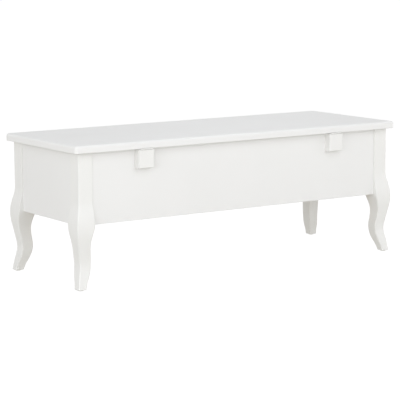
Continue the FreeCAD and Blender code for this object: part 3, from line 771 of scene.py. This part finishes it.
def dress(material, *names):
    """Gives CAD nodes, whose shapes are right as they are, their real finish."""
    for name in names:
        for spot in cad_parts[name].material_slots:
            spot.material = material


for side in ("left", "right"):
    dress(enamel, "hinge_case_leaf_" + side, "hinge_lid_leaf_" + side, "hinge_pin_" + side)


# ---------------------------------------------------------------- screws
# Countersunk wood screws, cross recessed and zinc plated, hold the cleats, floor, blocks, stays and
# hinges. Each has a plain neck and a coarse thread down to its point.

# Bright zinc plate: its passivation drifts from cool to faintly straw over a few millimetres, and a
# grit of 0.8 mm breaks up what it reflects
zinc_plate = mottled(
    "zinc_plated_steel", ("#C3C8CC", "#D2D0C8"), [(9, 3.0), (0.8, 2.0)], (0.28, 0.42), (0.15, 0.02),
    {"Metallic": 1.0})

screw_tree, given = geometry_tree("wood_screw", [
    ("Head Radius", "NodeSocketFloat"), ("Shank Radius", "NodeSocketFloat"),
    ("Length", "NodeSocketFloat"), ("Pitch", "NodeSocketFloat"),
    ("Recess Width", "NodeSocketFloat"), ("Recess Depth", "NodeSocketFloat")])
turns = node(screw_tree, "ShaderNodeMath", {0: given["Length"], 1: given["Pitch"]}, operation="DIVIDE")
# Six rows to a turn of the thread, and three for the head
rows = node(screw_tree, "ShaderNodeMath", {0: turns, 1: 6.0, 2: 3.0}, operation="MULTIPLY_ADD")
rows = node(screw_tree, "ShaderNodeMath", {0: rows}, operation="ROUND")
AROUND = 20
columns = node(screw_tree, "ShaderNodeMath", {0: float(AROUND), 1: 1.0}, operation="ADD")
grid, column, row = tube_grid(screw_tree, columns, rows)
angle = node(screw_tree, "ShaderNodeMath", {0: column, 1: 2 * math.pi / AROUND}, operation="MULTIPLY")
# Row 0 is the middle of the head, row 1 its rim, and the last row the point
past_rim = node(screw_tree, "ShaderNodeMath", {0: row, 1: 1.0}, operation="SUBTRACT")
past_rim = node(screw_tree, "ShaderNodeMath", {0: past_rim, 1: 0.0}, operation="MAXIMUM")
last_row = node(screw_tree, "ShaderNodeMath", {0: rows, 1: 2.0}, operation="SUBTRACT")
share = node(screw_tree, "ShaderNodeMath", {0: past_rim, 1: last_row}, operation="DIVIDE")
depth = node(screw_tree, "ShaderNodeMath", {0: share, 1: given["Length"]}, operation="MULTIPLY")
winding = node(screw_tree, "ShaderNodeMath", {0: depth, 1: given["Pitch"]}, operation="DIVIDE")
round_share = node(screw_tree, "ShaderNodeMath", {0: column, 1: float(AROUND)}, operation="DIVIDE")
phase = node(screw_tree, "ShaderNodeMath", {0: winding, 1: round_share}, operation="SUBTRACT")
crest = node(screw_tree, "ShaderNodeMath", {0: phase, 1: 0.5}, operation="PINGPONG")
crest = node(screw_tree, "ShaderNodeMath", {0: crest, 1: 2.0}, operation="MULTIPLY")
crest = node(screw_tree, "ShaderNodeMath", {0: crest, 1: 2.0}, operation="POWER")
# The core under the thread is 0.7 of the shank; the neck keeps the full shank
thread = node(screw_tree, "ShaderNodeMapRange", {"Value": crest, "To Min": 0.7, "To Max": 1.0})
neck_end = node(screw_tree, "ShaderNodeMath", {0: share, 1: 0.35}, operation="LESS_THAN")
plain = node(screw_tree, "ShaderNodeMath", {0: thread, 1: neck_end}, operation="MAXIMUM")
shank = node(screw_tree, "ShaderNodeMath", {0: plain, 1: given["Shank Radius"]}, operation="MULTIPLY")
cone = node(screw_tree, "ShaderNodeMath", {0: given["Head Radius"], 1: depth}, operation="SUBTRACT")
stem = node(screw_tree, "ShaderNodeMath", {0: cone, 1: shank}, operation="MAXIMUM")
left_over = node(screw_tree, "ShaderNodeMath", {0: given["Length"], 1: depth}, operation="SUBTRACT")
tipped = node(screw_tree, "ShaderNodeMath", {0: stem, 1: left_over}, operation="MINIMUM")
off_centre = node(screw_tree, "ShaderNodeMath", {0: row, 1: 0.5}, operation="GREATER_THAN")
radius = node(screw_tree, "ShaderNodeMath", {0: tipped, 1: off_centre}, operation="MULTIPLY")
across = node(screw_tree, "ShaderNodeMath", {0: angle}, operation="COSINE")
beside = node(screw_tree, "ShaderNodeMath", {0: angle}, operation="SINE")
across = node(screw_tree, "ShaderNodeMath", {0: across, 1: radius}, operation="MULTIPLY")
beside = node(screw_tree, "ShaderNodeMath", {0: beside, 1: radius}, operation="MULTIPLY")
place = node(screw_tree, "ShaderNodeCombineXYZ", {"X": across, "Y": beside, "Z": depth})
shaped = node(screw_tree, "GeometryNodeSetPosition", {"Geometry": grid, "Position": place})
blank = node(screw_tree, "GeometryNodeMergeByDistance", {"Geometry": shaped, "Distance": 0.005 * MM})
bar = node(screw_tree, "ShaderNodeMath", {0: given["Head Radius"], 1: 1.1}, operation="MULTIPLY")
deep = node(screw_tree, "ShaderNodeMath", {0: given["Recess Depth"], 1: 2.0}, operation="MULTIPLY")
slots = []
for long_x in (True, False):
    pair = (bar, given["Recess Width"]) if long_x else (given["Recess Width"], bar)
    size = node(screw_tree, "ShaderNodeCombineXYZ", {"X": pair[0], "Y": pair[1], "Z": deep})
    slots.append(node(screw_tree, "GeometryNodeMeshCube", {"Size": size}))
cross = node(screw_tree, "GeometryNodeMeshBoolean", operation="UNION")
for slot in slots:
    screw_tree.links.new(slot.outputs["Mesh"], cross.inputs["Mesh 2"])
driven = node(screw_tree, "GeometryNodeMeshBoolean", {
    "Mesh 1": blank, "Mesh 2": cross}, operation="DIFFERENCE")
way = node(screw_tree, "GeometryNodeInputNamedAttribute", {"Name": "way"}, data_type="FLOAT_VECTOR")
aimed = node(screw_tree, "FunctionNodeAlignRotationToVector", {"Vector": way}, axis="Z")
set_in = node(screw_tree, "GeometryNodeInstanceOnPoints", {
    "Points": given["Geometry"], "Instance": driven, "Rotation": aimed})
real = node(screw_tree, "GeometryNodeRealizeInstances", {"Geometry": set_in})
coated = node(screw_tree, "GeometryNodeSetMaterial", {"Geometry": real, "Material": given["Material"]})
node(screw_tree, "NodeGroupOutput", {0: coated})

# Shares of the shank's and the head's radius
PITCH_SHARE = 0.75
RECESS_WIDTH_SHARE = 0.28
RECESS_DEPTH_SHARE = 0.45
SCREWS = {
    "cleat_screws": ("case", "zinc_steel", zinc_plate),
    "floor_screws": ("case", "zinc_steel", zinc_plate),
    "hinge_block_screws": ("case", "zinc_steel", zinc_plate),
    "damper_screws": ("case", "zinc_steel", zinc_plate),
    "stay_bracket_screws": ("lid", "zinc_steel", zinc_plate),
    "hinge_case_screws": ("case", "painted_hinge", enamel),
    "hinge_lid_screws": ("lid", "painted_hinge", enamel),
}
for name, (body, slot, metal) in SCREWS.items():
    facts = screw_facts(name)
    points = bpy.data.meshes.new(name)
    points.from_pydata([tuple(fact[0]) for fact in facts], [], [])
    ways = np.array([fact[1] for fact in facts], np.float32).ravel()
    points.attributes.new("way", "FLOAT_VECTOR", "POINT").data.foreach_set("vector", ways)
    head, shank, length = (float(np.median([fact[i] for fact in facts])) for i in (2, 3, 4))
    screws = grown(name + "_set", points, screw_tree, {
        "Head Radius": head, "Shank Radius": shank, "Length": length, "Pitch": PITCH_SHARE * shank,
        "Recess Width": RECESS_WIDTH_SHARE * head, "Recess Depth": RECESS_DEPTH_SHARE * head,
        "Material": metal})
    finished(screws, metal, body, slot, name, sharp=30.0)


# ---------------------------------------------------------------- dowels
# Beech dowels, 8 by 30 mm, are glued half into each panel end and half into a post. Pressed flutes let
# the glue out, and both ends are chamfered.

# Beech is dry and matt, and its ray flecks, about 1.5 mm, make it speckled
beech = mottled(
    "fluted_beech", ("#C39C6B", "#DDBF92"), [(1.5, 4.0)], (0.6, 0.8), (0.4, 0.08), {"IOR": 1.5})

dowel_tree, given = geometry_tree("fluted_dowel", [
    ("Radius", "NodeSocketFloat"), ("Length", "NodeSocketFloat"), ("Chamfer", "NodeSocketFloat"),
    ("Flute Depth", "NodeSocketFloat"), ("Flutes", "NodeSocketInt")])
# Four columns to a flute
columns = node(dowel_tree, "ShaderNodeMath", {
    0: given["Flutes"], 1: 4.0, 2: 1.0}, operation="MULTIPLY_ADD")
grid, column, row = tube_grid(dowel_tree, columns, 6)
around = node(dowel_tree, "ShaderNodeMath", {0: columns, 1: 1.0}, operation="SUBTRACT")
round_share = node(dowel_tree, "ShaderNodeMath", {0: column, 1: around}, operation="DIVIDE")
angle = node(dowel_tree, "ShaderNodeMath", {0: round_share, 1: 2 * math.pi}, operation="MULTIPLY")
wave = node(dowel_tree, "ShaderNodeMath", {0: angle, 1: given["Flutes"]}, operation="MULTIPLY")
wave = node(dowel_tree, "ShaderNodeMath", {0: wave}, operation="COSINE")
dip = node(dowel_tree, "ShaderNodeMapRange", {
    "Value": wave, "From Min": -1.0, "From Max": 1.0, "To Min": given["Flute Depth"], "To Max": 0.0})
# Rows 0 and 5 are the ends' middles, 1 and 4 their rims, 2 and 3 where the chamfers stop
from_end = node(dowel_tree, "ShaderNodeMath", {0: row, 1: 5.0}, operation="PINGPONG")
mirror = node(dowel_tree, "ShaderNodeMath", {0: 5.0, 1: row}, operation="SUBTRACT")
step = node(dowel_tree, "ShaderNodeMath", {0: from_end, 1: mirror}, operation="MINIMUM")
inside = node(dowel_tree, "ShaderNodeMath", {0: step, 1: 1.5}, operation="GREATER_THAN")
rim = node(dowel_tree, "ShaderNodeMath", {0: step, 1: 0.5}, operation="GREATER_THAN")
inset = node(dowel_tree, "ShaderNodeMath", {0: inside, 1: given["Chamfer"]}, operation="MULTIPLY")
half = node(dowel_tree, "ShaderNodeMath", {0: given["Length"], 1: 0.5}, operation="MULTIPLY")
reach = node(dowel_tree, "ShaderNodeMath", {0: half, 1: inset}, operation="SUBTRACT")
which = node(dowel_tree, "ShaderNodeMath", {0: row, 1: 2.5}, operation="SUBTRACT")
which = node(dowel_tree, "ShaderNodeMath", {0: which}, operation="SIGN")
along = node(dowel_tree, "ShaderNodeMath", {0: reach, 1: which}, operation="MULTIPLY")
cut_back = node(dowel_tree, "ShaderNodeMath", {0: given["Chamfer"], 1: inset}, operation="SUBTRACT")
body = node(dowel_tree, "ShaderNodeMath", {0: given["Radius"], 1: cut_back}, operation="SUBTRACT")
body = node(dowel_tree, "ShaderNodeMath", {0: body, 1: dip}, operation="SUBTRACT")
radius = node(dowel_tree, "ShaderNodeMath", {0: body, 1: rim}, operation="MULTIPLY")
across = node(dowel_tree, "ShaderNodeMath", {0: angle}, operation="COSINE")
beside = node(dowel_tree, "ShaderNodeMath", {0: angle}, operation="SINE")
across = node(dowel_tree, "ShaderNodeMath", {0: across, 1: radius}, operation="MULTIPLY")
beside = node(dowel_tree, "ShaderNodeMath", {0: beside, 1: radius}, operation="MULTIPLY")
place = node(dowel_tree, "ShaderNodeCombineXYZ", {"X": across, "Y": beside, "Z": along})
shaped = node(dowel_tree, "GeometryNodeSetPosition", {"Geometry": grid, "Position": place})
one = node(dowel_tree, "GeometryNodeMergeByDistance", {"Geometry": shaped, "Distance": 0.005 * MM})
way = node(dowel_tree, "GeometryNodeInputNamedAttribute", {"Name": "way"}, data_type="FLOAT_VECTOR")
aimed = node(dowel_tree, "FunctionNodeAlignRotationToVector", {"Vector": way}, axis="Z")
set_in = node(dowel_tree, "GeometryNodeInstanceOnPoints", {
    "Points": given["Geometry"], "Instance": one, "Rotation": aimed})
real = node(dowel_tree, "GeometryNodeRealizeInstances", {"Geometry": set_in})
coated = node(dowel_tree, "GeometryNodeSetMaterial", {"Geometry": real, "Material": given["Material"]})
node(dowel_tree, "NodeGroupOutput", {0: coated})

places, ways = [], []
for points in loose_solids("panel_dowels"):
    low, high = points.min(0), points.max(0)
    axis = int(np.argmax(high - low))
    places.append(tuple((low + high) / 2))
    ways += [float(i == axis) for i in range(3)]
spots = bpy.data.meshes.new("dowel_places")
spots.from_pydata(places, [], [])
spots.attributes.new("way", "FLOAT_VECTOR", "POINT").data.foreach_set("vector", ways)
dowels = grown("dowel_set", spots, dowel_tree, {
    "Radius": 4.0 * MM, "Length": 30.0 * MM, "Chamfer": 1.0 * MM, "Flute Depth": 0.25 * MM, "Flutes": 16,
    "Material": beech})
finished(dowels, beech, "case", "dowel_wood", "panel_dowels", sharp=50.0)


# ---------------------------------------------------------------- cams and cam bolts
# Each panel end is drawn to its post by two steel bolts whose heads are caught by die-cast zinc cams.
# The cams show as grey discs with a deep cross inside the box.

# Tumbled die-cast zinc is dull grey, with dents of about half a millimetre; drawn at 1 mm to show
die_cast = mottled(
    "tumbled_die_cast_zinc", ("#A9ACAE", "#BABCBC"), [(1, "dents")], (0.42, 0.6), (0.4, 0.06),
    {"Metallic": 1.0})
dress(die_cast, "cam_locks")
dress(zinc_plate, "cam_bolts")


# ---------------------------------------------------------------- lid stays
# At each end a grease damper of grey nylon turns a pair of zinc-plated steel arms, riveted at the
# elbow, that let the lid down slowly. The upper arm hangs from an angle bracket under the lid.

# Nylon from a spark-eroded mould is evenly matt; its texture is 0.1 mm, drawn at 0.6 mm to show
damper_nylon = mottled(
    "spark_textured_grey_nylon", ("#7E8184", "#8C8F92"), [(0.6, 2.0)], (0.48, 0.62), (0.3, 0.05),
    {"IOR": 1.53})
for side in ("_left", "_right"):
    dress(damper_nylon, "damper_housing" + side, "damper_cover" + side, "damper_rotor" + side)
    dress(zinc_plate, "stay_arm_screw" + side, "stay_lower_arm" + side, "stay_upper_arm" + side,
          "stay_elbow_rivet" + side, "stay_lid_rivet" + side, "stay_lid_bracket" + side)


# ---------------------------------------------------------------- glides and bumpers
# A nylon glide is nailed under each leg, and a soft clear dot on each post keeps the closed lid off
# the wood and quiet.

# Moulded nylon is milky, a little light passes into it, and sliding scuffs it in patches of 3 mm
nylon = mottled(
    "moulded_white_nylon", ("#E4E4DF", "#EEEEEA"), [(3, 3.0)], (0.35, 0.5), (0.2, 0.05),
    {"IOR": 1.53, "Subsurface Weight": 0.1, "Subsurface Radius": (2 * MM, 2 * MM, 2 * MM)})
dress(nylon, "foot_glides")

# Soft clear polyurethane is glossy and half lets the white post through, under a faint bloom
clear_dot = mottled(
    "clear_soft_polyurethane", ("#DFE0DC", "#EAEAE6"), [(4, 2.0)], (0.18, 0.3), (0.1, 0.05),
    {"IOR": 1.5, "Transmission Weight": 0.4})

DOT_FOOT = 0.15 * MM
DOT_FOOT_EASE = 0.2 * MM
DOT_ROUND = 1.6 * MM
DOT_STEPS = 7
dots = []
for points in loose_solids("lid_bumpers"):
    low, high = points.min(0), points.max(0)
    tall, wide = high[2] - low[2], (high[0] - low[0]) / 2
    outline = [(0.0, wide - DOT_FOOT_EASE), (DOT_FOOT, wide)]
    for step in range(1, DOT_STEPS + 1):
        turn = math.radians(90 * step / DOT_STEPS)
        rise, inset = math.sin(turn), 1 - math.cos(turn)
        outline.append((DOT_FOOT + (tall - DOT_FOOT) * rise, wide - DOT_ROUND * inset))
    middle = (low + high) / 2
    dots.append(turned(outline, (middle[0], middle[1], low[2]), (0, 0, 1)))
bumpers = link_object("bumper_dots", joined("bumper_dots", dots))
finished(bumpers, clear_dot, "case", "bumper_rubber", "lid_bumpers")
